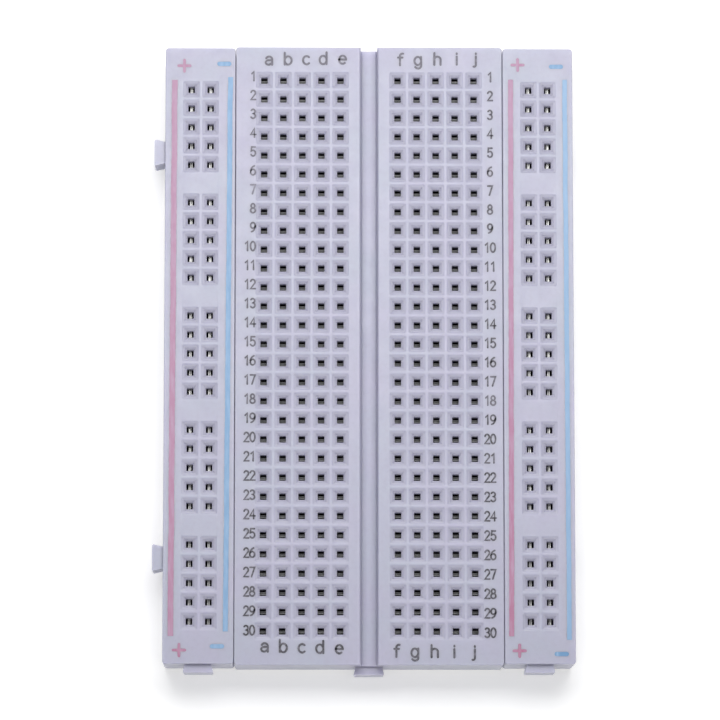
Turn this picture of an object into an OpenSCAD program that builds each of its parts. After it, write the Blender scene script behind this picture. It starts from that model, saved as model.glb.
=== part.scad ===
// Half-size solderless breadboard: a terminal strip with a bus rail keyed to each long side.
// +Z is up, +Y runs towards row 1 and +X towards column j.
// The origin is on the underside, below the centre of the hole grid.

/* [Hole grid] */
// Distance between neighbouring holes
pitch = 2.54; // [2.5:0.01:2.6]
// Rows of terminal holes
row_count = 30; // [12:1:40]
// Holes in a row on each side of the trough
side_columns = 5; // [4:1:5]
// Distance between the two middle columns, in pitches
middle_gap = 3; // [3:1:4]
// Sideways offset of a rail's hole pair from the middle of the rail
rail_hole_shift = 0.07; // [-0.1:0.01:0.1]

/* [Housings] */
// Height from the release liner's underside to the top face
board_h = 9.5; // [9.2:0.1:10.5]
// Width of the terminal housing
terminal_w = 35.5; // [35.4:0.05:36]
// Width of a rail housing
rail_w = 9.34; // [9.2:0.02:10]
// Gap between two neighbouring housings
seam = 0.06; // [0.04:0.01:0.1]
// Distance from the last row of holes to the end face
end_margin = 4.47; // [4.3:0.01:6]
// How much shorter a rail is than the terminal housing, at each end
rail_setback = 0.15; // [0:0.05:0.3]
// Radius of the upright corners
corner_r = 0.4; // [0.3:0.1:1]
// Width of the trough between the two halves
trough_w = 2.2; // [2:0.05:2.4]
// Depth of the trough
trough_d = 2.5; // [2:0.1:2.6]

/* [Wire holes] */
// Width of the square hole
hole_w = 0.86; // [0.8:0.02:1.1]
// Width of the funnel round the hole
funnel_w = 1.56; // [1.3:0.02:1.58]
// Width of the shallow square recess round the funnel, at the top face
recess_w = 2.26; // [2:0.02:2.3]
// Depth of the recess
recess_d = 0.16; // [0.1:0.02:0.2]
// Depth where the funnel meets the straight hole
funnel_d = 0.4; // [0.3:0.02:1.2]
// Thickness of the plastic above a clip
skin_t = 1.6; // [1.5:0.05:2]

/* [Dovetail keys] */
// How far a side key stands out
side_key_reach = 1.45; // [1:0.05:1.5]
// Width of a side key at its root
side_key_root = 2.9; // [2:0.1:3.2]
// Width of a side key at its tip
side_key_tip = 3.55; // [3.3:0.05:4]
// Distance from a side key to the nearer end of the terminal housing
side_key_inset = 14.2; // [6:0.1:15]
// How far an end key stands out
end_key_reach = 1.1; // [0.8:0.05:1.2]
// Width of an end key at its root
end_key_root = 3.5; // [3:0.1:4]
// Width of an end key at its tip
end_key_tip = 4; // [3.5:0.1:5]
// Distance from the top face down to the top of a key
key_drop = 0.8; // [0.6:0.1:2]
// Height of a key
key_h = 4.2; // [3:0.1:4.4]
// Clearance round a key in its socket
key_play = 0.06; // [0.05:0.01:0.1]

/* [Spring clips] */
// Thickness of the spring strip
leaf_t = 0.15; // [0.12:0.01:0.25]
// Gap between the tips of the two leaves, under the middle of the hole
tip_gap = 0.04; // [0.02:0.02:0.3]
// Width of the slot between two pairs of leaves
finger_slot = 0.6; // [0.4:0.05:0.8]
// Width of the chamber that holds a clip
chamber_w = 1.84; // [1.7:0.02:1.9]
// Distance from a clip to its chamber's walls
clip_play = 0.07; // [0.06:0.01:0.1]

/* [Backing] */
// Thickness of the adhesive foam tape
foam_t = 0.9; // [0.5:0.1:1.2]
// Thickness of the release liner
liner_t = 0.1; // [0.08:0.01:0.15]
// How far the backing stays inside the housing's outline
backing_inset = 0.3; // [0.2:0.1:1]

/* [Hidden] */
SHELL = [0.85, 0.84, 0.92];
METAL = "silver";
FOAM = [0.93, 0.91, 0.86];
LINER = [0.90, 0.82, 0.62];

GROUP_SIZE = 5;
corner_steps = 4;
key_bite = 1;
key_tip_cut = 0.15;
overcut = 1;
recess_draft = 0.2;
funnel_lip_drop = 0.03;
low_key_skin = 0.45;

body_z = liner_t + foam_t;
roof_z = board_h - skin_t;
key_top_z = board_h - key_drop;
low_key_top_z = board_h - trough_d - low_key_skin - key_play;

terminal_l = (row_count - 1) * pitch + 2 * end_margin;
rail_l = terminal_l - 2 * rail_setback;
rail_x = terminal_w / 2 + seam + rail_w / 2;
side_key_y = terminal_l / 2 - side_key_inset;

row_span = (side_columns - 1) * pitch;
side_middle_x = middle_gap * pitch / 2 + row_span / 2;
group_count = floor(row_count / (GROUP_SIZE + 1));
rail_places = group_count * (GROUP_SIZE + 1) - 1;
rail_span = (rail_places - 1) * pitch;
finger_w = pitch - finger_slot;
clip_past_hole = 1.02;
chamber_past_hole = clip_past_hole + clip_play;

clip_z = body_z + clip_play;
clip_h = roof_z - clip_play - clip_z;
spine_h = 1.2;
shoulder_h = 0.42 * clip_h;

function row_y(row) = ((row_count + 1) / 2 - row) * pitch;
function rail_y(place) = (place - (rail_places - 1) / 2) * pitch;
function is_blank(place) = (place + 1) % (GROUP_SIZE + 1) == 0;
function two_digits(n) = str(n < 10 ? "0" : "", n);
function row_node(row) = str("terminal_clips_row_", two_digits(row));

side_columns_x = [for (i = [0:side_columns - 1]) side_middle_x - row_span / 2 + i * pitch];
terminal_columns = concat([for (x = side_columns_x) -x], side_columns_x);
terminal_rows = [for (row = [1:row_count]) row_y(row)];
rail_columns = [rail_hole_shift - pitch / 2, rail_hole_shift + pitch / 2];
rail_rows = [for (place = [0:rail_places - 1]) if (!is_blank(place)) rail_y(place)];

// Plan outlines

// A rectangle with rounded corners, centred on the origin
module rounded_plan(w, l, r) {
    polygon([for (corner = [0:3], step = [0:corner_steps])
        let (a = 90 * (corner + step / corner_steps),
             sx = (corner == 0 || corner == 3) ? 1 : -1,
             sy = corner < 2 ? 1 : -1)
        [sx * (w / 2 - r) + r * cos(a), sy * (l / 2 - r) + r * sin(a)]]);
}

// A dovetail that grows out of the X axis along +Y; grow widens it into its socket
module key_plan(root_w, tip_w, reach, grow = 0) {
    half = [[root_w / 2 + grow, -key_bite], [root_w / 2 + grow, 0],
            [tip_w / 2 + grow, reach + grow - key_tip_cut],
            [tip_w / 2 + grow - key_tip_cut, reach + grow]];
    polygon(concat(half, [for (i = [len(half) - 1:-1:0]) [-half[i].x, half[i].y]]));
}

module side_key_plan(grow = 0) key_plan(side_key_root, side_key_tip, side_key_reach, grow);
module end_key_plan(grow = 0) key_plan(end_key_root, end_key_tip, end_key_reach, grow);

// Turns a key so that it points along -X, once near each end of the housing
module along_side(x) {
    for (y = [-side_key_y, side_key_y]) translate([x, y]) rotate(90) children();
}

// Turns a key so that it points along -Y
module on_end(y) translate([0, y]) rotate(180) children();

// Every socket of a module, seen from above: side sockets on +X, an end socket on +Y
module socket_plans(w, l, grow) {
    along_side(w / 2 + seam) side_key_plan(grow);
    on_end(l / 2 + seam) end_key_plan(grow);
}

// Housings

// Profile of a stepped square funnel, from above the top face to below the skin
module hole_profile() {
    half = [[recess_w / 2, overcut], [recess_w / 2, 0],
            [recess_w / 2 - recess_draft, -recess_d],
            [funnel_w / 2, -recess_d - funnel_lip_drop],
            [hole_w / 2, -funnel_d], [hole_w / 2, -skin_t - overcut / 2]];
    polygon(concat(half, [for (i = [len(half) - 1:-1:0]) [-half[i].x, half[i].y]]));
}

// Stepped funnels where the columns cross the rows: the profile runs along each, and both meet
module wire_holes(columns, rows) {
    reach = 2 * pitch + max(max(columns) - min(columns), max(rows) - min(rows));
    translate([0, 0, board_h]) intersection() {
        for (x = columns) translate([x, 0, 0]) rotate([90, 0, 0])
            linear_extrude(reach, center = true) hole_profile();
        for (y = rows) translate([0, y, 0]) rotate([90, 0, 90])
            linear_extrude(reach + 2 * abs(max(columns)), center = true) hole_profile();
    }
}

// A chamber for a clip, open at the bottom
module chamber(x, y, w, l) {
    translate([x - w / 2, y - l / 2, body_z - overcut]) cube([w, l, roof_z - body_z + overcut]);
}

// The solid block of one module with its keys
module keyed_block(w, l, end_key_top) {
    translate([0, 0, body_z]) linear_extrude(board_h - body_z) rounded_plan(w, l, corner_r);
    translate([0, 0, key_top_z - key_h]) linear_extrude(key_h) along_side(-w / 2) side_key_plan();
    translate([0, 0, end_key_top - key_h]) linear_extrude(key_h) on_end(-l / 2) end_key_plan();
}

// The sockets that take a neighbour's keys from below
module key_sockets(w, l, end_key_top) {
    translate([0, 0, body_z - overcut]) {
        linear_extrude(key_top_z + key_play - body_z + overcut)
            along_side(w / 2 + seam) side_key_plan(key_play);
        linear_extrude(end_key_top + key_play - body_z + overcut)
            on_end(l / 2 + seam) end_key_plan(key_play);
    }
}

module terminal_housing() {
    chamber_l = row_span + 2 * chamber_past_hole;
    color(SHELL) difference() {
        keyed_block(terminal_w, terminal_l, low_key_top_z);
        key_sockets(terminal_w, terminal_l, low_key_top_z);
        wire_holes(terminal_columns, terminal_rows);
        for (side = [-1, 1], y = terminal_rows) chamber(side * side_middle_x, y, chamber_l, chamber_w);
        translate([-trough_w / 2, -terminal_l / 2 - overcut, board_h - trough_d])
            cube([trough_w, terminal_l + 2 * overcut, trough_d + overcut]);
    }
}

module rail_housing() {
    chamber_l = rail_span + 2 * chamber_past_hole;
    color(SHELL) difference() {
        keyed_block(rail_w, rail_l, key_top_z);
        key_sockets(rail_w, rail_l, key_top_z);
        wire_holes(rail_columns, rail_rows);
        for (x = rail_columns) chamber(x, 0, chamber_w, chamber_l);
    }
}

module left_rail_housing() translate([-rail_x, 0, 0]) rail_housing();
module right_rail_housing() translate([rail_x, 0, 0]) rail_housing();

// Spring clips

function unit(v) = v / norm(v);
function left_of(v) = [-v.y, v.x];

// The point beside corner i of a path, offset by d with a mitre
function beside(path, i, d) =
    let (after = unit(path[min(i + 1, len(path) - 1)] - path[min(i, len(path) - 2)]),
         before = unit(path[max(i, 1)] - path[max(i - 1, 0)]),
         n = left_of(unit(before + after)))
    path[i] + n * d / (n * left_of(before));

// The cross-section of a clip: one folded strip whose two leaves lean together and meet at the top
module clip_profile() {
    base = chamber_w / 2 - clip_play - leaf_t / 2;
    half = [[base, leaf_t / 2], [base, shoulder_h], [(tip_gap + leaf_t) / 2, clip_h]];
    path = concat([for (i = [len(half) - 1:-1:0]) [-half[i].x, half[i].y]], half);
    last = len(path) - 1;
    polygon(concat([for (i = [0:last]) beside(path, i, leaf_t / 2)],
                   [for (i = [last:-1:0]) beside(path, i, -leaf_t / 2)]));
}

// A slot that parts two pairs of leaves above the spine
module leaf_slot(along, w) {
    translate([along - w / 2, -chamber_w, spine_h]) cube([w, 2 * chamber_w, clip_h]);
}

// A clip along X with one pair of leaves under each hole of a row
module row_clip() {
    difference() {
        rotate([90, 0, 90]) linear_extrude(row_span + 2 * clip_past_hole, center = true) clip_profile();
        for (i = [1:side_columns - 1]) leaf_slot((i - side_columns / 2) * pitch, finger_slot);
    }
}

// A clip along Y with a pair of leaves under each hole of a rail column
module bus_clip(x) {
    color(METAL) translate([x, 0, clip_z]) rotate(90) difference() {
        rotate([90, 0, 90]) linear_extrude(rail_span + 2 * clip_past_hole, center = true) clip_profile();
        for (place = [0:rail_places - 2]) if (!is_blank(place) && !is_blank(place + 1))
            leaf_slot(rail_y(place + 0.5), finger_slot);
        for (place = [0:rail_places - 1]) if (is_blank(place))
            leaf_slot(rail_y(place), 2 * pitch - finger_w);
    }
}

module left_positive_bus_clip() bus_clip(-rail_x + rail_columns[0]);
module left_negative_bus_clip() bus_clip(-rail_x + rail_columns[1]);
module right_positive_bus_clip() bus_clip(rail_x + rail_columns[0]);
module right_negative_bus_clip() bus_clip(rail_x + rail_columns[1]);

// The two clips of one terminal row: columns a to e, and columns f to j
module terminal_clips(row) {
    color(METAL) for (side = [-1, 1]) translate([side * side_middle_x, row_y(row), clip_z]) row_clip();
}

// Backing

// A sheet under one module, cut away round the sockets so that a key can pass
module backing_sheet(w, l, t) {
    linear_extrude(t) difference() {
        rounded_plan(w - 2 * backing_inset, l - 2 * backing_inset, corner_r - backing_inset / 2);
        socket_plans(w, l, key_play + backing_inset);
    }
}

module foam(x, w, l) color(FOAM) translate([x, 0, liner_t]) backing_sheet(w, l, foam_t);
module liner(x, w, l) color(LINER) translate([x, 0, 0]) backing_sheet(w, l, liner_t);

module terminal_foam() foam(0, terminal_w, terminal_l);
module left_rail_foam() foam(-rail_x, rail_w, rail_l);
module right_rail_foam() foam(rail_x, rail_w, rail_l);
module terminal_liner() liner(0, terminal_w, terminal_l);
module left_rail_liner() liner(-rail_x, rail_w, rail_l);
module right_rail_liner() liner(rail_x, rail_w, rail_l);

terminal_housing();
left_rail_housing();
right_rail_housing();
left_positive_bus_clip();
left_negative_bus_clip();
right_positive_bus_clip();
right_negative_bus_clip();
terminal_foam();
left_rail_foam();
right_rail_foam();
terminal_liner();
left_rail_liner();
right_rail_liner();
for (row = [1:row_count])
    terminal_clips(row);
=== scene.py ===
"""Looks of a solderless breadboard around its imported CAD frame.

Everything is in metres in the frame of the part: +Z is up, +Y runs towards row 1 and +X towards column j.
Sizes are written in millimetres and turned into metres with MM.
"""

import math
import random
from collections import namedtuple

import bmesh
import bpy
from mathutils import Matrix, Vector, noise
from mathutils.geometry import delaunay_2d_cdt


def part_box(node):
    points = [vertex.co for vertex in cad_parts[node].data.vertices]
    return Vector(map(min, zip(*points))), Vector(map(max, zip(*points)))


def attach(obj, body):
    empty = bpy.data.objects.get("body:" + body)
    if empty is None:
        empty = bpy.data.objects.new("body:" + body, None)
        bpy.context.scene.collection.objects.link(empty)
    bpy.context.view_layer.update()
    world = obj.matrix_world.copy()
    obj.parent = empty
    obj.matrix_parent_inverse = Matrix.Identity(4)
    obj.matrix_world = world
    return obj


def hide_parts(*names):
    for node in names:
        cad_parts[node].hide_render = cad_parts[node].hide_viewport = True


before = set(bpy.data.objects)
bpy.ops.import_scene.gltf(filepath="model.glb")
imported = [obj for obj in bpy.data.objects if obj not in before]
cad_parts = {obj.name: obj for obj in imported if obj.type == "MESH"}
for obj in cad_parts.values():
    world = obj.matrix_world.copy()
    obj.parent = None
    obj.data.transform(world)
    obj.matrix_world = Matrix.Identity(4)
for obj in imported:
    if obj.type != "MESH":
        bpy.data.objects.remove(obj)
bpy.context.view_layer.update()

MM = 0.001

# Tolerances, each in the unit of what it is compared with. FLAT_WITHIN is an angle in radians, and
# a face is level where the Z of its normal is above LEVEL_NORMAL.
NEAR = 1e-6
MERGE_WITHIN = 1e-7
PLATE_WITHIN = 1e-9
FLAT_WITHIN = 0.01
LEVEL_NORMAL = 0.999


# Sizes of the CAD part, and the places that its frame gives

COLUMNS_A_SIDE = 5
MIDDLE_GAP = 3
ROWS = 30
GROUP = 5
SEAM = 0.06 * MM
CLIP_PLAY = 0.07 * MM
KEY_PLAY = 0.06 * MM
KEY_DROP = 0.8 * MM
LOW_KEY_DROP = 0.51 * MM
TROUGH_D = 2.5 * MM
TROUGH_W = 2.2 * MM


def row_box(row):
    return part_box(f"terminal_clips_row_{row:02d}")


def middle(node):
    low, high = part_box(node)
    return (low + high) / 2


pitch = row_box(1)[0].y - row_box(2)[0].y
top_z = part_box("terminal_housing")[1].z
body_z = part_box("terminal_housing")[0].z
roof_z = row_box(1)[1].z + CLIP_PLAY
trough_z = top_z - TROUGH_D
key_top_z = top_z - KEY_DROP
low_key_top_z = trough_z - LOW_KEY_DROP

row_ys = [(row_box(row)[0].y + row_box(row)[1].y) / 2 for row in range(1, ROWS + 1)]
side_columns = [(MIDDLE_GAP / 2 + i) * pitch for i in range(COLUMNS_A_SIDE)]
rail_places = ROWS // (GROUP + 1) * (GROUP + 1) - 1
rail_ys = [((rail_places - 1) / 2 - i) * pitch for i in range(rail_places) if (i + 1) % (GROUP + 1)]

Module = namedtuple("Module", "name body x half_w half_l side_reach end_reach end_key_top "
                    "columns ys chambers")


def chamber_over(low, high):
    """Plan of a chamber, as (x0, y0, x1, y1), from the corners of the clip that it holds."""
    return low.x - CLIP_PLAY, low.y - CLIP_PLAY, high.x + CLIP_PLAY, high.y + CLIP_PLAY


def module(name, body, end_key_top, columns, ys, chambers):
    low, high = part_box(name + "_housing")
    x = middle(name + "_foam").x
    half_w = high.x - x
    half_l = high.y
    return Module(name, body, x, half_w, half_l, x - half_w - low.x, -half_l - low.y,
                  end_key_top, columns, ys, chambers)


def terminal_module():
    chambers = []
    for row in range(1, ROWS + 1):
        low, high = row_box(row)
        inner_x = side_columns[0] - (high.x - side_columns[-1])
        x0, y0, x1, y1 = chamber_over(Vector((inner_x, low.y, 0)), high)
        chambers += [(x0, y0, x1, y1), (-x1, y0, -x0, y1)]
    columns = [-x for x in side_columns] + side_columns
    return module("terminal", "terminal_strip", low_key_top_z, columns, row_ys, chambers)


def rail_module(side):
    clips = [f"{side}_positive_bus_clip", f"{side}_negative_bus_clip"]
    columns = [middle(clip).x for clip in clips]
    chambers = [chamber_over(*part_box(clip)) for clip in clips]
    return module(side + "_rail", side + "_rail", key_top_z, columns, rail_ys, chambers)


TERMINAL = terminal_module()
MODULES = [TERMINAL, rail_module("left"), rail_module("right")]


# Mesh helpers

def new_object(name, bm):
    """Turns a bmesh into an object with smooth faces, and frees it."""
    mesh = bpy.data.meshes.new(name)
    for face in bm.faces:
        face.smooth = True
    bm.to_mesh(mesh)
    bm.free()
    piece = bpy.data.objects.new(name, mesh)
    bpy.context.scene.collection.objects.link(piece)
    return piece


def evaluated_bmesh(piece):
    """The mesh of an object with its modifiers, as a bmesh; the object is removed."""
    bm = bmesh.new()
    bm.from_object(piece, bpy.context.evaluated_depsgraph_get())
    bpy.data.objects.remove(piece)
    return bm


def merge_flat(bm):
    """Joins vertices that coincide and faces that lie in one plane."""
    bmesh.ops.remove_doubles(bm, verts=bm.verts, dist=MERGE_WITHIN)
    bmesh.ops.dissolve_limit(bm, angle_limit=FLAT_WITHIN, verts=bm.verts, edges=bm.edges)


def prism(name, plan, z0, z1):
    """A closed prism over a plan outline."""
    bm = bmesh.new()
    low = [bm.verts.new((x, y, z0)) for x, y in plan]
    high = [bm.verts.new((x, y, z1)) for x, y in plan]
    bridge(bm, low, high)
    bm.faces.new(low)
    bm.faces.new(high)
    bmesh.ops.recalc_face_normals(bm, faces=bm.faces)
    return new_object(name, bm)


def bridge(bm, ring_a, ring_b):
    """Quads between two closed rings of the same count."""
    for i in range(len(ring_a)):
        bm.faces.new((ring_a[i - 1], ring_a[i], ring_b[i], ring_b[i - 1]))


def plate(bm, outer, holes):
    """Triangles over a flat outline of vertices, apart from the hole outlines inside it."""
    corners = [v.co.to_2d() for v in outer]
    turn = sum(corners[i - 1].cross(corners[i]) for i in range(len(corners)))
    loops = [outer if turn > 0 else outer[::-1]] + holes
    verts = [v for loop in loops for v in loop]
    index = {v: i for i, v in enumerate(verts)}
    faces = [[index[v] for v in loop] for loop in loops]
    plan = [v.co.to_2d() for v in verts]
    out_verts, _, triangles, _, _, sources = delaunay_2d_cdt(plan, [], faces, 0, PLATE_WITHIN)
    if len(out_verts) != len(verts):
        raise ValueError("an outline of a plate crosses another")
    for triangle, source in zip(triangles, sources):
        if source == [0]:
            bm.faces.new([verts[i] for i in triangle])


def arc(cx, cy, rx, ry, start, end, steps=12):
    """Points of an arc of an ellipse, between two angles in degrees."""
    angles = [math.radians(start + (end - start) * i / steps) for i in range(steps + 1)]
    return [(cx + rx * math.cos(a), cy + ry * math.sin(a)) for a in angles]


def rectangle(x0, y0, x1, y1):
    return (x0, y0), (x1, y0), (x1, y1), (x0, y1)


def rounded_plan(x, y, half_w, half_l, r, steps):
    """Plan outline of a rectangle with rounded corners, counter-clockwise."""
    points = []
    for turn, (sx, sy) in enumerate(((1, 1), (-1, 1), (-1, -1), (1, -1))):
        start = 90 * turn
        points += arc(x + sx * (half_w - r), y + sy * (half_l - r), r, r, start, start + 90, steps)
    return points


# Housings

CORNER_R = 0.4 * MM
CORNER_STEPS = 5
SHARP_SHELL = math.radians(50)

# Edges that turn by more than SHARP_EDGE are rounded by ROUND_WIDTH times the weight of their place
SHARP_EDGE = math.radians(35)
ROUND_WIDTH = 0.3 * MM
ROUND_SEGMENTS = 3
TROUGH_WEIGHT = 1.0
TOP_WEIGHT = 0.5
UNDERSIDE_WEIGHT = 0.12
OTHER_WEIGHT = 0.2

SIDE_KEY_Y = 27.1 * MM
SIDE_KEY = (2.9 * MM, 3.55 * MM)
END_KEY = (3.5 * MM, 4 * MM)
KEY_H = 4.2 * MM
KEY_TIP_CUT = 0.15 * MM
KEY_BITE = 1 * MM

# Half width, depth and corner radius of a wire hole, from the top face down, in millimetres
HOLE_PROFILE = (
    (1.17, 0.0, 0.24),
    (1.13, 0.008, 0.22),
    (1.06, 0.04, 0.2),
    (0.96, 0.088, 0.18),
    (0.9, 0.108, 0.17),
    (0.84, 0.12, 0.15),
    (0.79, 0.14, 0.14),
    (0.73, 0.19, 0.13),
    (0.51, 0.35, 0.12),
    (0.45, 0.4, 0.11),
    (0.43, 0.47, 0.1),
)
HOLE_CORNER_STEPS = 3
# Half width and corner radius where a hole opens into its chamber, in millimetres
HOLE_END = (HOLE_PROFILE[-1][0], 0.12)
# Depth at which the painted shade of the recess is in full, in millimetres
RECESS_SHADE_DEPTH = 0.11


def key_plan(widths, reach, play):
    """A dovetail that grows out of the X axis along +Y."""
    root, tip = (w / 2 + play for w in widths)
    reach = reach + play
    half = [(root, -KEY_BITE), (root, 0), (tip, reach - KEY_TIP_CUT), (tip - KEY_TIP_CUT, reach)]
    return half + [(-x, y) for x, y in reversed(half)]


def placed(plan, x, y, degrees):
    a = math.radians(degrees)
    return [(x + px * math.cos(a) - py * math.sin(a), y + px * math.sin(a) + py * math.cos(a))
            for px, py in plan]


def keys(m, edge_x, edge_y, play, side_z, end_z):
    """The side and end keys of a module as prisms, or the sockets that take them."""
    side = key_plan(SIDE_KEY, m.side_reach, play)
    end = key_plan(END_KEY, m.end_reach, play)
    made = [prism("side_key", placed(side, edge_x, y, 90), *side_z) for y in (-SIDE_KEY_Y, SIDE_KEY_Y)]
    return made + [prism("end_key", placed(end, m.x, edge_y, 180), *end_z)]


def cut_or_join(block, tools, operation):
    for tool in tools:
        boolean = block.modifiers.new("boolean", "BOOLEAN")
        boolean.operation = operation
        boolean.solver = "EXACT"
        boolean.object = tool


def housing_block(m):
    """The sharp solid block of a module with its keys, sockets and trough, and no holes yet."""
    below = body_z - MM
    above = top_z + MM
    plan = rounded_plan(m.x, 0, m.half_w, m.half_l, CORNER_R, CORNER_STEPS)
    block = prism("block", plan, body_z, top_z)
    grown = keys(m, m.x - m.half_w, -m.half_l, 0,
                 (key_top_z - KEY_H, key_top_z), (m.end_key_top - KEY_H, m.end_key_top))
    cut = keys(m, m.x + m.half_w + SEAM, m.half_l + SEAM, KEY_PLAY,
               (below, key_top_z + KEY_PLAY), (below, m.end_key_top + KEY_PLAY))
    if m.name == "terminal":
        half_l = m.half_l + MM
        trough = rectangle(-TROUGH_W / 2, -half_l, TROUGH_W / 2, half_l)
        cut += [prism("trough", trough, trough_z, above)]
    cut_or_join(block, grown, "UNION")
    cut_or_join(block, cut, "DIFFERENCE")
    bm = evaluated_bmesh(block)
    for tool in grown + cut:
        bpy.data.objects.remove(tool)
    merge_flat(bm)
    return bm


def round_weight(edge):
    """Along the trough the most, round the underside the least."""
    a, b = (v.co for v in edge.verts)
    in_trough = max(abs(a.x), abs(b.x)) < TROUGH_W and min(a.z, b.z) > trough_z - NEAR
    if in_trough and abs(a.y - b.y) > MM:
        return TROUGH_WEIGHT
    if min(a.z, b.z) > top_z - NEAR:
        return TOP_WEIGHT
    if max(a.z, b.z) < body_z + NEAR:
        return UNDERSIDE_WEIGHT
    return OTHER_WEIGHT


def round_edges(bm):
    """Rounds the sharp edges of a block."""
    weight = bm.edges.layers.float.new("bevel_weight_edge")
    for edge in bm.edges:
        if len(edge.link_faces) == 2 and edge.calc_face_angle() > SHARP_EDGE:
            edge[weight] = round_weight(edge)
    block = new_object("block", bm)
    bevel = block.modifiers.new("round", "BEVEL")
    bevel.limit_method = "WEIGHT"
    bevel.offset_type = "OFFSET"
    bevel.width = ROUND_WIDTH
    bevel.segments = ROUND_SEGMENTS
    bevel.use_clamp_overlap = False
    return evaluated_bmesh(block)


def inside(x, y, plan):
    """Whether a point is inside a plan outline of vertices."""
    crossings = 0
    for i in range(len(plan)):
        a = plan[i - 1].co
        b = plan[i].co
        if (a.y > y) != (b.y > y) and x < a.x + (y - a.y) * (b.x - a.x) / (b.y - a.y):
            crossings += 1
    return crossings % 2 == 1


def flat_faces(bm, z, up):
    """Faces at height z that face up where up is 1, or down where it is -1."""
    return [f for f in bm.faces
            if f.normal.z * up > LEVEL_NORMAL and abs(f.calc_center_median().z - z) < NEAR]


def open_holes(bm, m):
    """Opens the wire holes in the top face and the chambers in the underside, and joins them."""
    # Painted shade: each vertex of a hole keeps how deep it lies in the recess, and the plastic is
    # painted darker there
    recess = bm.verts.layers.float.new("recess")
    end_half, end_r = HOLE_END
    profile = HOLE_PROFILE + ((end_half, (top_z - roof_z) / MM, end_r),)
    ends = {}
    tops = {}
    for x in m.columns:
        for y in m.ys:
            rings = []
            for half, depth, r in profile:
                plan = rounded_plan(x, y, half * MM, half * MM, r * MM, HOLE_CORNER_STEPS)
                rings.append([bm.verts.new((px, py, top_z - depth * MM)) for px, py in plan])
                for v in rings[-1]:
                    v[recess] = min(1, depth / RECESS_SHADE_DEPTH)
            for a, b in zip(rings, rings[1:]):
                bridge(bm, a, b)
            tops[x, y] = rings[0]
            ends[x, y] = rings[-1]
    for face in flat_faces(bm, top_z, 1):
        outer = list(face.verts)
        plate(bm, outer, [ring for (x, y), ring in tops.items() if inside(x, y, outer)])
        bm.faces.remove(face)
    mouths = []
    for x0, y0, x1, y1 in m.chambers:
        plan = rectangle(x0, y0, x1, y1)
        roof = [bm.verts.new((x, y, roof_z)) for x, y in plan]
        mouth = [bm.verts.new((x, y, body_z)) for x, y in plan]
        bridge(bm, roof, mouth)
        plate(bm, roof, [ring for (x, y), ring in ends.items() if x0 < x < x1 and y0 < y < y1])
        mouths.append(mouth)
    for face in flat_faces(bm, body_z, -1):
        outer = list(face.verts)
        plate(bm, outer, [mouth for mouth in mouths if inside(mouth[0].co.x, mouth[0].co.y, outer)])
        bm.faces.remove(face)
    bmesh.ops.recalc_face_normals(bm, faces=bm.faces)


def make_housing(m):
    bm = round_edges(housing_block(m))
    open_holes(bm, m)
    shell = new_object(m.name + "_shell", bm)
    shell.data.set_sharp_from_angle(angle=SHARP_SHELL)
    even = shell.modifiers.new("even_normals", "WEIGHTED_NORMAL")
    even.keep_sharp = True
    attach(shell, m.body)
    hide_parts(m.name + "_housing")
    return shell


# Materials

class Shader:
    """Node tree of one material. Its textures are laid out in millimetres of the frame of the part."""

    def __init__(self, name):
        self.material = bpy.data.materials.new(name)
        self.material.use_nodes = True
        self.tree = self.material.node_tree
        self.surface = self.tree.nodes["Principled BSDF"]
        coordinates = self.add("ShaderNodeTexCoord")
        self.mm = self.scaled(coordinates.outputs["Object"], (1 / MM, 1 / MM, 1 / MM))
        self.normal = coordinates.outputs["Normal"]

    def add(self, kind, **inputs):
        """A node with some of its inputs set or linked; _ in a name stands for a space."""
        node = self.tree.nodes.new(kind)
        for name, value in inputs.items():
            self.put(node, name.replace("_", " "), value)
        return node

    def put(self, node, name, value):
        if isinstance(value, bpy.types.NodeSocket):
            self.tree.links.new(value, node.inputs[name])
        else:
            node.inputs[name].default_value = value

    def set(self, **inputs):
        for name, value in inputs.items():
            self.put(self.surface, name.replace("_", " "), value)

    def scaled(self, vector, scale):
        return self.add("ShaderNodeMapping", Vector=vector, Scale=scale).outputs["Vector"]

    def noise(self, scale, detail=2, stretch=(1, 1, 1), distortion=0):
        """Noise from 0 to 1 with scale waves a millimetre."""
        node = self.add("ShaderNodeTexNoise", Vector=self.scaled(self.mm, stretch),
                        Scale=scale, Detail=detail, Distortion=distortion)
        return node.outputs["Fac"]

    def upward(self):
        """How far the surface faces up, from -1 to 1."""
        return self.add("ShaderNodeSeparateXYZ", Vector=self.normal).outputs["Z"]

    def cells(self, scale):
        node = self.add("ShaderNodeTexVoronoi", Vector=self.mm, Scale=scale)
        return node.outputs["Distance"]

    def remap(self, value, low, high, to_low, to_high):
        node = self.add("ShaderNodeMapRange", Value=value)
        node.inputs["From Min"].default_value = low
        node.inputs["From Max"].default_value = high
        node.inputs["To Min"].default_value = to_low
        node.inputs["To Max"].default_value = to_high
        return node.outputs["Result"]

    def multiply(self, a, b):
        node = self.add("ShaderNodeMath")
        node.operation = "MULTIPLY"
        self.put(node, 0, a)
        self.put(node, 1, b)
        return node.outputs[0]

    def mix(self, factor, a, b):
        """Colour a where factor is 0 and b where it is 1."""
        node = self.tree.nodes.new("ShaderNodeMix")
        node.data_type = "RGBA"
        for socket, value in ((0, factor), (6, a), (7, b)):
            if isinstance(value, bpy.types.NodeSocket):
                self.tree.links.new(value, node.inputs[socket])
            else:
                node.inputs[socket].default_value = value if socket == 0 else (*value, 1)
        return node.outputs[2]

    def attribute(self, name):
        node = self.add("ShaderNodeAttribute")
        node.attribute_name = name
        return node.outputs["Fac"]

    def bump(self, *layers):
        """Layers of (height, depth in millimetres), one on top of another."""
        normal = None
        for height, depth in layers:
            node = self.add("ShaderNodeBump", Height=height, Distance=depth * MM, Strength=1)
            if normal is not None:
                self.tree.links.new(normal, node.inputs["Normal"])
            normal = node.outputs["Normal"]
        self.tree.links.new(normal, self.surface.inputs["Normal"])


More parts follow.
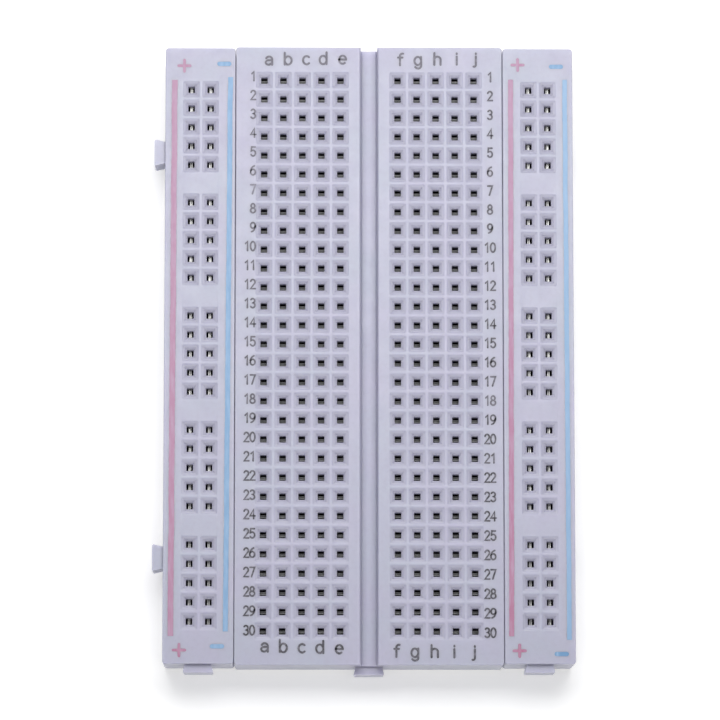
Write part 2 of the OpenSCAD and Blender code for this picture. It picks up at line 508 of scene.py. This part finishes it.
SHELL_COLORS = ((0.470, 0.458, 0.575), (0.455, 0.470, 0.565))
SHELL_SHADE = (0.43, 0.42, 0.52)
# Painted shade for the recesses round the holes and down the holes
SHELL_RECESS_SHADE = (0.455, 0.45, 0.55)
# Painted shade: the strips are coloured far darker than bright plating, for the shade down in the holes,
# in uneven patches
SHADED_METAL_FACES = ((0.16, 0.16, 0.16), (0.10, 0.10, 0.09))
# Painted light on the faces of the strips that point up: a painted highlight on the bus strips, and on
# the row strips a tone about as dark as their faces
ROW_PAINTED_TOP = (0.11, 0.11, 0.11)
BUS_PAINTED_TOP = (0.36, 0.36, 0.35)
FOAM_COLORS = ((0.62, 0.60, 0.53), (0.82, 0.80, 0.74))
PAPER_COLORS = ((0.80, 0.70, 0.43), (0.70, 0.59, 0.34))
# Colour of an ink where it is thick and where it is thin
LEGEND_COLORS = ((0.03, 0.028, 0.036), (0.25, 0.24, 0.3))
POSITIVE_COLORS = ((0.4, 0.14, 0.25), (0.46, 0.32, 0.45))
NEGATIVE_COLORS = ((0.14, 0.29, 0.5), (0.31, 0.46, 0.66))
LINE_STREAK = 6


def shell_material():
    """Pale lavender moulded plastic, a little translucent, with faint flow marks and painted shade in the
    recesses.
    """
    s = Shader("moulded_plastic")
    hue = s.mix(s.remap(s.noise(0.13, 3), 0.35, 0.65, 0, 1), *SHELL_COLORS)
    speckle = s.remap(s.noise(1.7, 4), 0.45, 0.75, 0, 0.5)
    outside = s.mix(speckle, hue, SHELL_SHADE)
    # Painted shade: the plastic darkens with depth in the recess round each hole, and stays dark down the
    # hole
    s.set(Base_Color=s.mix(s.attribute("recess"), outside, SHELL_RECESS_SHADE),
          Roughness=s.remap(s.noise(0.5, 4), 0.3, 0.7, 0.33, 0.47),
          Subsurface_Weight=1.0, Subsurface_Radius=(1.0, 1.0, 1.1), Subsurface_Scale=0.8 * MM)
    s.bump((s.noise(0.12, 2), 0.05), (s.noise(5, 5), 0.004))
    return s.material


def metal_material(name, painted_top):
    """Spring strip, drawn along its length, painted dark as shade down in the holes, with a painted tone
    of its own on the faces that point up.
    """
    s = Shader(name)
    drawn = s.noise(9, 3, stretch=(0.15, 0.15, 1))
    patches = s.remap(s.noise(0.9, 4), 0.4, 0.7, 0, 1)
    # Painted shade: the strip's colour is kept dark, in uneven patches, for the shade in the holes
    faces = s.mix(patches, *SHADED_METAL_FACES)
    # Painted light: faces that point up take their own colour, a painted glint on the bus rims and a dim
    # tone on the row rims
    s.set(Base_Color=s.mix(s.remap(s.upward(), 0.8, 0.95, 0, 1), faces, painted_top), Metallic=1.0,
          Roughness=s.remap(drawn, 0.3, 0.7, 0.3, 0.5))
    s.bump((drawn, 0.004), (s.noise(2.5, 3), 0.006))
    return s.material


def foam_material():
    """White closed-cell foam with open cells on its cut edge."""
    s = Shader("foam_tape")
    cells = s.cells(6)
    s.set(Base_Color=s.mix(s.remap(cells, 0.1, 0.8, 0, 1), *FOAM_COLORS),
          Roughness=s.remap(s.noise(2, 3), 0.3, 0.7, 0.75, 0.95))
    s.bump((s.noise(0.8, 3), 0.04), (cells, 0.05))
    return s.material


def liner_material():
    """Waxed yellow release paper with fibres and faint waves."""
    s = Shader("release_paper")
    fibres = s.noise(3, 5, stretch=(1, 0.25, 1), distortion=0.6)
    s.set(Base_Color=s.mix(s.remap(fibres, 0.35, 0.7, 0, 1), *PAPER_COLORS),
          Roughness=s.remap(s.noise(0.4, 4), 0.3, 0.7, 0.3, 0.5))
    s.bump((s.noise(0.1, 2), 0.08), (fibres, 0.006))
    return s.material


def ink_material(name, thick, thin, streak):
    """Screen-printed ink; streak is how far its uneven patches are stretched along the board."""
    s = Shader(name)
    cover = s.remap(s.noise(2.2, 4, stretch=(1, 1 / streak, 1)), 0.42, 0.85, 1, 0)
    s.set(Base_Color=s.mix(s.multiply(cover, s.attribute("ink")), thin, thick),
          Roughness=s.remap(s.noise(3, 2), 0.3, 0.7, 0.45, 0.65))
    s.bump((s.noise(4, 3), 0.006))
    return s.material


# Printed ink: every mark is a thin closed solid on the top face. Its sizes are in millimetres.

INK_HEIGHT = 0.012
INK_SINK = 0.004
# Marks made one after another differ in height by a step, so that two that cross aren't in one plane
LAYER_STEP = 0.002
LAYERS = 3
CAP_STEPS = 6
SHARP_INK = math.radians(30)
STROKE_WOBBLE = 0.12
STROKE_WAVES = 2.3
LONGEST_MITRE = 1.6
LEAST_MITRE_COSINE = 0.3
RIBBON_STEP = 0.35
RIBBON_DRIFT = 0.05
RIBBON_WAVES = 0.2
RIBBON_ROUGH = 0.02


def loop(cx, cy, rx, ry, steps=20):
    """Points of a whole ellipse; the last repeats the first."""
    return arc(cx, cy, rx, ry, 0, 360, steps)


# Single-stroke letters and digits on a height of 1
GLYPHS = {
    "0": [loop(0.27, 0.5, 0.27, 0.5)],
    "1": [[(0.12, 0.78), (0.35, 1), (0.35, 0)]],
    "2": [arc(0.27, 0.73, 0.25, 0.27, 165, -32) + [(0.02, 0), (0.55, 0)]],
    "3": [arc(0.26, 0.76, 0.23, 0.24, 150, -90, 9) + arc(0.26, 0.26, 0.26, 0.26, 90, -150)[1:]],
    "4": [[(0.42, 0), (0.42, 1), (0, 0.3), (0.57, 0.3)]],
    "5": [[(0.5, 1), (0.1, 1), (0.06, 0.56)] + arc(0.27, 0.32, 0.27, 0.32, 125, -150)],
    "6": [arc(0.5, 0.33, 0.5, 0.67, 98, 180, 8) + arc(0.27, 0.31, 0.27, 0.31, 180, -170, 18)[1:]],
    "7": [[(0.02, 1), (0.54, 1), (0.2, 0)]],
    "8": [loop(0.27, 0.76, 0.21, 0.24), loop(0.27, 0.26, 0.27, 0.26)],
    "9": [arc(0.04, 0.67, 0.5, 0.67, -82, 0, 8) + arc(0.27, 0.69, 0.27, 0.31, 0, 350, 18)[1:]],
    "a": [arc(0.29, 0.45, 0.25, 0.25, 155, 0, 9) + [(0.54, 0)],
          [(0.54, 0.41), (0.3, 0.39)] + arc(0.25, 0.2, 0.23, 0.19, 95, 290) + [(0.54, 0.17)]],
    "b": [[(0.03, 1), (0.03, 0)], loop(0.31, 0.35, 0.28, 0.35)],
    "c": [arc(0.3, 0.35, 0.29, 0.35, 48, 312)],
    "d": [[(0.57, 1), (0.57, 0)], loop(0.29, 0.35, 0.28, 0.35)],
    "e": [[(0.02, 0.37), (0.57, 0.37)] + arc(0.3, 0.35, 0.28, 0.35, 12, 308)],
    "f": [arc(0.36, 0.78, 0.2, 0.22, 75, 180, 7) + [(0.16, 0)], [(0, 0.66), (0.36, 0.66)]],
    "g": [loop(0.28, 0.35, 0.27, 0.35), [(0.55, 0.7)] + arc(0.3, -0.05, 0.25, 0.24, 0, -150, 8)],
    "h": [[(0.04, 1), (0.04, 0)], arc(0.29, 0.44, 0.25, 0.26, 180, 0, 9) + [(0.54, 0)]],
    "i": [[(0.1, 0.68), (0.1, 0)], [(0.1, 0.96), (0.1, 0.9)]],
    "j": [[(0.22, 0.68)] + arc(0.08, -0.04, 0.14, 0.15, 0, -110, 6), [(0.22, 0.94), (0.22, 0.88)]],
}
GLYPH_GAP = 0.15
Style = namedtuple("Style", "width height stroke")
DIGITS = Style(1.16, 1.22, 0.23)
COLUMN_LETTERS = Style(1.65, 1.6, 0.28)


def glyph_width(character):
    """Digits are all as wide as a zero."""
    glyph = GLYPHS["0" if character.isdigit() else character]
    return max(x for stroke in glyph for x, y in stroke)


class Ink:
    """A mesh of ink marks in one colour. Each mark has its own density in the "ink" attribute."""

    def __init__(self):
        self.bm = bmesh.new()
        self.density = self.bm.verts.layers.float.new("ink")
        self.layer = 0

    def section(self, x, y, density):
        """One vertex under the ink and one on top of it."""
        height = INK_HEIGHT + LAYER_STEP * (self.layer % LAYERS)
        low = self.bm.verts.new((x * MM, y * MM, top_z - INK_SINK * MM))
        high = self.bm.verts.new((x * MM, y * MM, top_z + height * MM))
        low[self.density] = high[self.density] = density
        return low, high

    def solid(self, left, right):
        """The top, underside and sides of a band between two rows of sections, without its ends."""
        for (a, b), (c, d) in zip(zip(left, left[1:]), zip(right, right[1:])):
            for face in ((a[1], b[1], d[1], c[1]), (a[0], c[0], d[0], b[0]),
                         (a[0], b[0], b[1], a[1]), (c[0], c[1], d[1], d[0])):
                self.bm.faces.new(face)

    def cap(self, points, density):
        """Closes the round end of a stroke; points run from its left section to its right one."""
        sections = [points[0]] + [self.section(x, y, density) for x, y in points[1:-1]] + [points[-1]]
        self.bm.faces.new([s[1] for s in sections])
        self.bm.faces.new([s[0] for s in sections])
        for a, b in zip(sections, sections[1:]):
            self.bm.faces.new((a[0], b[0], b[1], a[1]))

    def stroke(self, path, width, density):
        """A line along a path, a little uneven in width. It has round ends, or makes a ring."""
        self.layer += 1
        points = [Vector(p) for p in path]
        closed = (points[0] - points[-1]).length < NEAR
        if closed:
            points.pop()
        count = len(points)
        left = []
        right = []
        for i, point in enumerate(points):
            before = points[i - 1] if closed or i else point
            after = points[(i + 1) % count] if closed or i < count - 1 else point
            d_in = (point - before).normalized() if point != before else (after - point).normalized()
            d_out = (after - point).normalized() if after != point else d_in
            along = (d_in + d_out).normalized()
            side = Vector((-along.y, along.x))
            cosine = max(LEAST_MITRE_COSINE, side.dot(Vector((-d_in.y, d_in.x))))
            mitre = min(LONGEST_MITRE, 1 / cosine)
            wave = noise.noise(Vector((point.x * STROKE_WAVES, point.y * STROKE_WAVES, self.layer)))
            half = width / 2 * (1 + STROKE_WOBBLE * wave)
            l = point + side * half * mitre
            r = point - side * half * mitre
            left.append(self.section(l.x, l.y, density))
            right.append(self.section(r.x, r.y, density))
        if closed:
            self.solid(left + left[:1], right + right[:1])
            return
        self.solid(left, right)
        self.round_end(points[-1], points[-1] - points[-2], width / 2, right[-1], left[-1], density)
        self.round_end(points[0], points[0] - points[1], width / 2, left[0], right[0], density)

    def round_end(self, point, outward, r, first, last, density):
        """A half circle round the end of a stroke, between its last two sections."""
        angle = math.atan2(outward.y, outward.x)
        turns = [angle + math.pi * (i / CAP_STEPS - 0.5) for i in range(1, CAP_STEPS)]
        arc_points = [(point.x + r * math.cos(a), point.y + r * math.sin(a)) for a in turns]
        self.cap([first] + arc_points + [last], density)

    def text(self, text, x, y, style, align, density):
        """Writes on a baseline at y, from x, around x or up to x, as align says."""
        widths = [glyph_width(c) for c in text]
        total = (sum(widths) + GLYPH_GAP * (len(text) - 1)) * style.width
        x -= {"left": 0, "centre": total / 2, "right": total}[align]
        for character, w in zip(text, widths):
            for path in GLYPHS[character]:
                placed_path = [(x + px * style.width, y + py * style.height) for px, py in path]
                self.stroke(placed_path, style.stroke, density)
            x += (w + GLYPH_GAP) * style.width

    def ribbon(self, start, end, width, seed):
        """A printed line between two (x, y, density) ends with slightly rough sides."""
        self.layer += 1
        steps = round((end[1] - start[1]) / RIBBON_STEP)
        rng = random.Random(seed)
        left = []
        right = []
        for i in range(steps + 1):
            x, y, density = (between(pair, i / steps) for pair in zip(start, end))
            drift = RIBBON_DRIFT * noise.noise(Vector((seed, y * RIBBON_WAVES, 0)))
            for row, edge in ((left, x - width / 2 + drift), (right, x + width / 2 + drift)):
                row.append(self.section(edge + rng.uniform(-RIBBON_ROUGH, RIBBON_ROUGH), y, density))
        self.solid(left, right)
        for a, b in ((left[0], right[0]), (left[-1], right[-1])):
            self.bm.faces.new((a[0], b[0], b[1], a[1]))

    def finish(self, name, body, material):
        """Turns the marks into one object that rides on a body."""
        bmesh.ops.recalc_face_normals(self.bm, faces=self.bm.faces)
        piece = new_object(name, self.bm)
        piece.data.set_sharp_from_angle(angle=SHARP_INK)
        piece.data.materials.append(material)
        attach(piece, body)


# The row numbers on each side. Pairs are for row 1 and the last row: x, the rise above the row of
# holes and the ink's density. A number of one digit is moved by lone_shift.
Numbers = namedtuple("Numbers", "align x lone_shift rise density")
NUMBERS = {
    "left": Numbers("right", (-15.15, -15.06), 0, (0.5, 0.1), (0.45, 1)),
    "right": Numbers("left", (15.4, 15.2), 0.42, (0.45, -0.2), (0.75, 1)),
}
# Densities of the row numbers that are printed more faintly than their neighbours
WORN = {("left", 6): 0.35, ("left", 7): 0.15, ("right", 18): 0.5}
# A row of column letters: its baselines from a to e and from f to j, at the first and last of each,
# its density and each letter's shift
Letters = namedtuple("Letters", "baselines density shifts")
LETTERS = "abcdefghij"
LETTER_ROWS = (
    Letters(((38.89, 39.05), (38.87, 39.02)), 0.55,
            (0.58, 0.6, 0.46, 0.2, 0.26, 0.4, 0.15, 0.22, 0.21, 0.12)),
    Letters(((-39.55, -39.78), (-40.22, -40.3)), 0.95,
            (0.22, 0.14, 0.01, -0.15, -0.14, -0.17, -0.37, -0.33, -0.34, -0.29)),
)


def between(ends, t):
    """The value at t of the way from the first end to the second."""
    return ends[0] + (ends[1] - ends[0]) * t


LEGEND_SEED = 7
FAINTEST = 0.85


def make_legend(material):
    """Row numbers beside the holes and column letters above and below them."""
    ink = Ink()
    rng = random.Random(LEGEND_SEED)
    for row, hole_y in enumerate(row_ys, 1):
        t = (row - 1) / (ROWS - 1)
        for side, numbers in NUMBERS.items():
            x = between(numbers.x, t) + (numbers.lone_shift if row < 10 else 0)
            y = hole_y / MM + between(numbers.rise, t) - DIGITS.height / 2
            density = WORN.get((side, row), between(numbers.density, t) * rng.uniform(FAINTEST, 1))
            ink.text(str(row), x, y, DIGITS, numbers.align, density)
    columns = sorted(TERMINAL.columns)
    for letters in LETTER_ROWS:
        for i, (column, letter) in enumerate(zip(columns, LETTERS)):
            block, place = divmod(i, COLUMNS_A_SIDE)
            y = between(letters.baselines[block], place / (COLUMNS_A_SIDE - 1))
            density = letters.density * rng.uniform(FAINTEST, 1)
            ink.text(letter, column / MM + letters.shifts[i], y, COLUMN_LETTERS, "centre", density)
    ink.finish("legend", "terminal_strip", material)


# Each polarity line has two ends and a sign beyond each, all as (x, y, ink density)
Line = namedtuple("Line", "rail sign width bottom top marks")
LINES = (
    Line("left", "positive", 0.74, (-26.1, -37.5, 0.6), (-25.92, 36.8, 0.38),
         ((-24.65, 38.73, 0.5), (-24.95, -39.35, 0.95))),
    Line("left", "negative", 0.66, (-18.88, -36.9, 0.62), (-18.5, 37.2, 0.52),
         ((-19.32, 39, 0.65), (-19.97, -38.85, 0.6))),
    Line("right", "positive", 0.66, (18.72, -37.5, 0.85), (18.9, 36.95, 0.38),
         ((19.85, 38.95, 0.5), (19.75, -39.4, 1))),
    Line("right", "negative", 0.62, (26.3, -37.95, 0.45), (26.12, 36.95, 0.15),
         ((24.98, 38.73, 0.6), (25.27, -39.82, 1.3))),
)
SIGN_ARM = 0.76
SIGN_STROKE = {"positive": 0.38, "negative": 0.58}


def make_polarity(line, material, seed):
    """The coloured line beside a bus column, with a plus or minus sign at each end."""
    ink = Ink()
    ink.ribbon(line.bottom, line.top, line.width, seed)
    stroke = SIGN_STROKE[line.sign]
    arm = SIGN_ARM + (SIGN_STROKE["positive"] - stroke) / 2
    for x, y, density in line.marks:
        ink.stroke([(x - arm, y), (x, y), (x + arm, y)], stroke, density)
        if line.sign == "positive":
            ink.stroke([(x, y - arm), (x, y), (x, y + arm)], stroke, density)
    ink.finish(f"{line.rail}_{line.sign}_line", line.rail + "_rail", material)


# Foam tape with cut edges

FOAM_STEP = 0.3 * MM
FOAM_WAIST = 0.05 * MM
FOAM_ROUGH = 0.03 * MM
FOAM_RINGS = 6
FOAM_WAVES = 2.5
SHARP_FOAM = math.radians(50)


def plan_outline(node):
    """Plan outline of a flat CAD sheet, counter-clockwise, from the faces of its underside."""
    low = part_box(node)[0].z
    bm = bmesh.new()
    bm.from_mesh(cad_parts[node].data)
    merge_flat(bm)
    face = min(bm.faces, key=lambda f: f.normal.z if abs(f.calc_center_median().z - low) < NEAR else 1)
    outline = [v.co.to_2d() for v in face.verts]
    bm.free()
    return outline[::-1]


def resampled(outline, step):
    """Points along a closed outline, close together, with its corners kept."""
    points = []
    for a, b in zip(outline, outline[1:] + outline[:1]):
        count = max(1, round((b - a).length / step))
        points += [a.lerp(b, i / count) for i in range(count)]
    return points


def make_foam(m, material):
    """A foam tape whose cut edge is a little rough and waisted; its faces stay flat."""
    node = m.name + "_foam"
    low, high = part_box(node)
    points = resampled(plan_outline(node), FOAM_STEP)
    bm = bmesh.new()
    rings = []
    for level in range(FOAM_RINGS):
        t = level / (FOAM_RINGS - 1)
        ring = []
        for i, point in enumerate(points):
            along = (points[(i + 1) % len(points)] - points[i - 1]).normalized()
            inward = Vector((-along.y, along.x))
            z = low.z + (high.z - low.z) * t
            rough = noise.noise(Vector((point.x, point.y, z)) / MM * FOAM_WAVES) * 0.5 + 0.5
            depth = FOAM_WAIST * math.sin(math.pi * t) + FOAM_ROUGH * rough
            ring.append(bm.verts.new((*(point + inward * depth), z)))
        rings.append(ring)
    for a, b in zip(rings, rings[1:]):
        bridge(bm, a, b)
    plate(bm, rings[0], [])
    plate(bm, rings[-1], [])
    bmesh.ops.recalc_face_normals(bm, faces=bm.faces)
    foam = new_object(m.name + "_tape", bm)
    foam.data.set_sharp_from_angle(angle=SHARP_FOAM)
    foam.data.materials.append(material)
    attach(foam, m.body)
    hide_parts(node)


# Making the pieces

plastic = shell_material()
row_metal = metal_material("row_spring_strip", ROW_PAINTED_TOP)
bus_metal = metal_material("bus_spring_strip", BUS_PAINTED_TOP)
foam_tape = foam_material()
paper = liner_material()
legend_ink = ink_material("legend_ink", *LEGEND_COLORS, 1)
line_inks = {
    "positive": ink_material("positive_ink", *POSITIVE_COLORS, LINE_STREAK),
    "negative": ink_material("negative_ink", *NEGATIVE_COLORS, LINE_STREAK),
}


def cad_material(name):
    """The material of a CAD node, from a word in its name."""
    for word, material in (("bus", bus_metal), ("clips", row_metal), ("liner", paper)):
        if word in name:
            return material
    return plastic


def paint(node, material):
    node.data.materials.clear()
    node.data.materials.append(material)


for m in MODULES:
    make_housing(m).data.materials.append(plastic)
    make_foam(m, foam_tape)
for name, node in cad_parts.items():
    paint(node, cad_material(name))
make_legend(legend_ink)
for seed, line in enumerate(LINES):
    make_polarity(line, line_inks[line.sign], seed)


# Camera, light and floor

CAMERA_AT = Vector((-9.27, -84.18, 600)) * MM
CAMERA_AIM = Vector((-1.21, -0.9, 9.5)) * MM
CAMERA_LENS = 225.3
CAMERA_SENSOR = 36
CAMERA_NEAR = 0.01

# Area lights, in metres and watts: a softbox over row 1 and a weaker one past row 30
Lamp = namedtuple("Lamp", "name position target size power")
LAMPS = (
    Lamp("softbox", (0, 0.07, 0.21), (0, 0.06, 0), (0.2, 0.13), 0.47),
    Lamp("fill", (0, -0.1, 0.2), (0, -0.07, 0), (0.2, 0.12), 0.11),
)
WORLD_COLOR = (0.97, 0.98, 1.0, 1)
WORLD_STRENGTH = 0.19
FLOOR_SIZE = 4
FLOOR_SURFACE = {
    "Base Color": (0.93, 0.93, 0.93, 1),
    "Roughness": 0.9,
    "Emission Color": (1, 1, 1, 1),
    "Emission Strength": 0.3,
}


def look(position, target, up=Vector((0, 1, 0))):
    """Matrix of an object at position whose -Z axis points at target and whose Y axis leans to up."""
    back = (position - target).normalized()
    right = up.cross(back).normalized()
    axes = Matrix((right, back.cross(right), back)).transposed().to_4x4()
    return Matrix.Translation(position) @ axes


def make_camera():
    camera = bpy.data.objects.new("camera", bpy.data.cameras.new("camera"))
    bpy.context.scene.collection.objects.link(camera)
    camera.data.lens = CAMERA_LENS
    camera.data.sensor_width = CAMERA_SENSOR
    camera.data.clip_start = CAMERA_NEAR
    camera.matrix_world = look(CAMERA_AT, CAMERA_AIM)
    bpy.context.scene.camera = camera


def area_light(lamp):
    light = bpy.data.lights.new(lamp.name, "AREA")
    light.shape = "RECTANGLE"
    light.size, light.size_y = lamp.size
    light.energy = lamp.power
    holder = bpy.data.objects.new(lamp.name, light)
    holder.visible_camera = False
    bpy.context.scene.collection.objects.link(holder)
    holder.matrix_world = look(Vector(lamp.position), Vector(lamp.target))


def make_light():
    """The lamps, and a little light all round."""
    world = bpy.data.worlds.new("studio")
    world.use_nodes = True
    background = world.node_tree.nodes["Background"]
    background.inputs["Color"].default_value = WORLD_COLOR
    background.inputs["Strength"].default_value = WORLD_STRENGTH
    bpy.context.scene.world = world
    for lamp in LAMPS:
        area_light(lamp)


def make_floor():
    bpy.ops.mesh.primitive_plane_add(size=FLOOR_SIZE, location=(0, 0, 0))
    floor = bpy.context.object
    floor.name = "floor"
    mat = bpy.data.materials.new("floor")
    mat.use_nodes = True
    surface = mat.node_tree.nodes["Principled BSDF"]
    for name, value in FLOOR_SURFACE.items():
        surface.inputs[name].default_value = value
    floor.data.materials.append(mat)


make_camera()
make_light()
make_floor()
bpy.context.scene.view_settings.view_transform = "Standard"
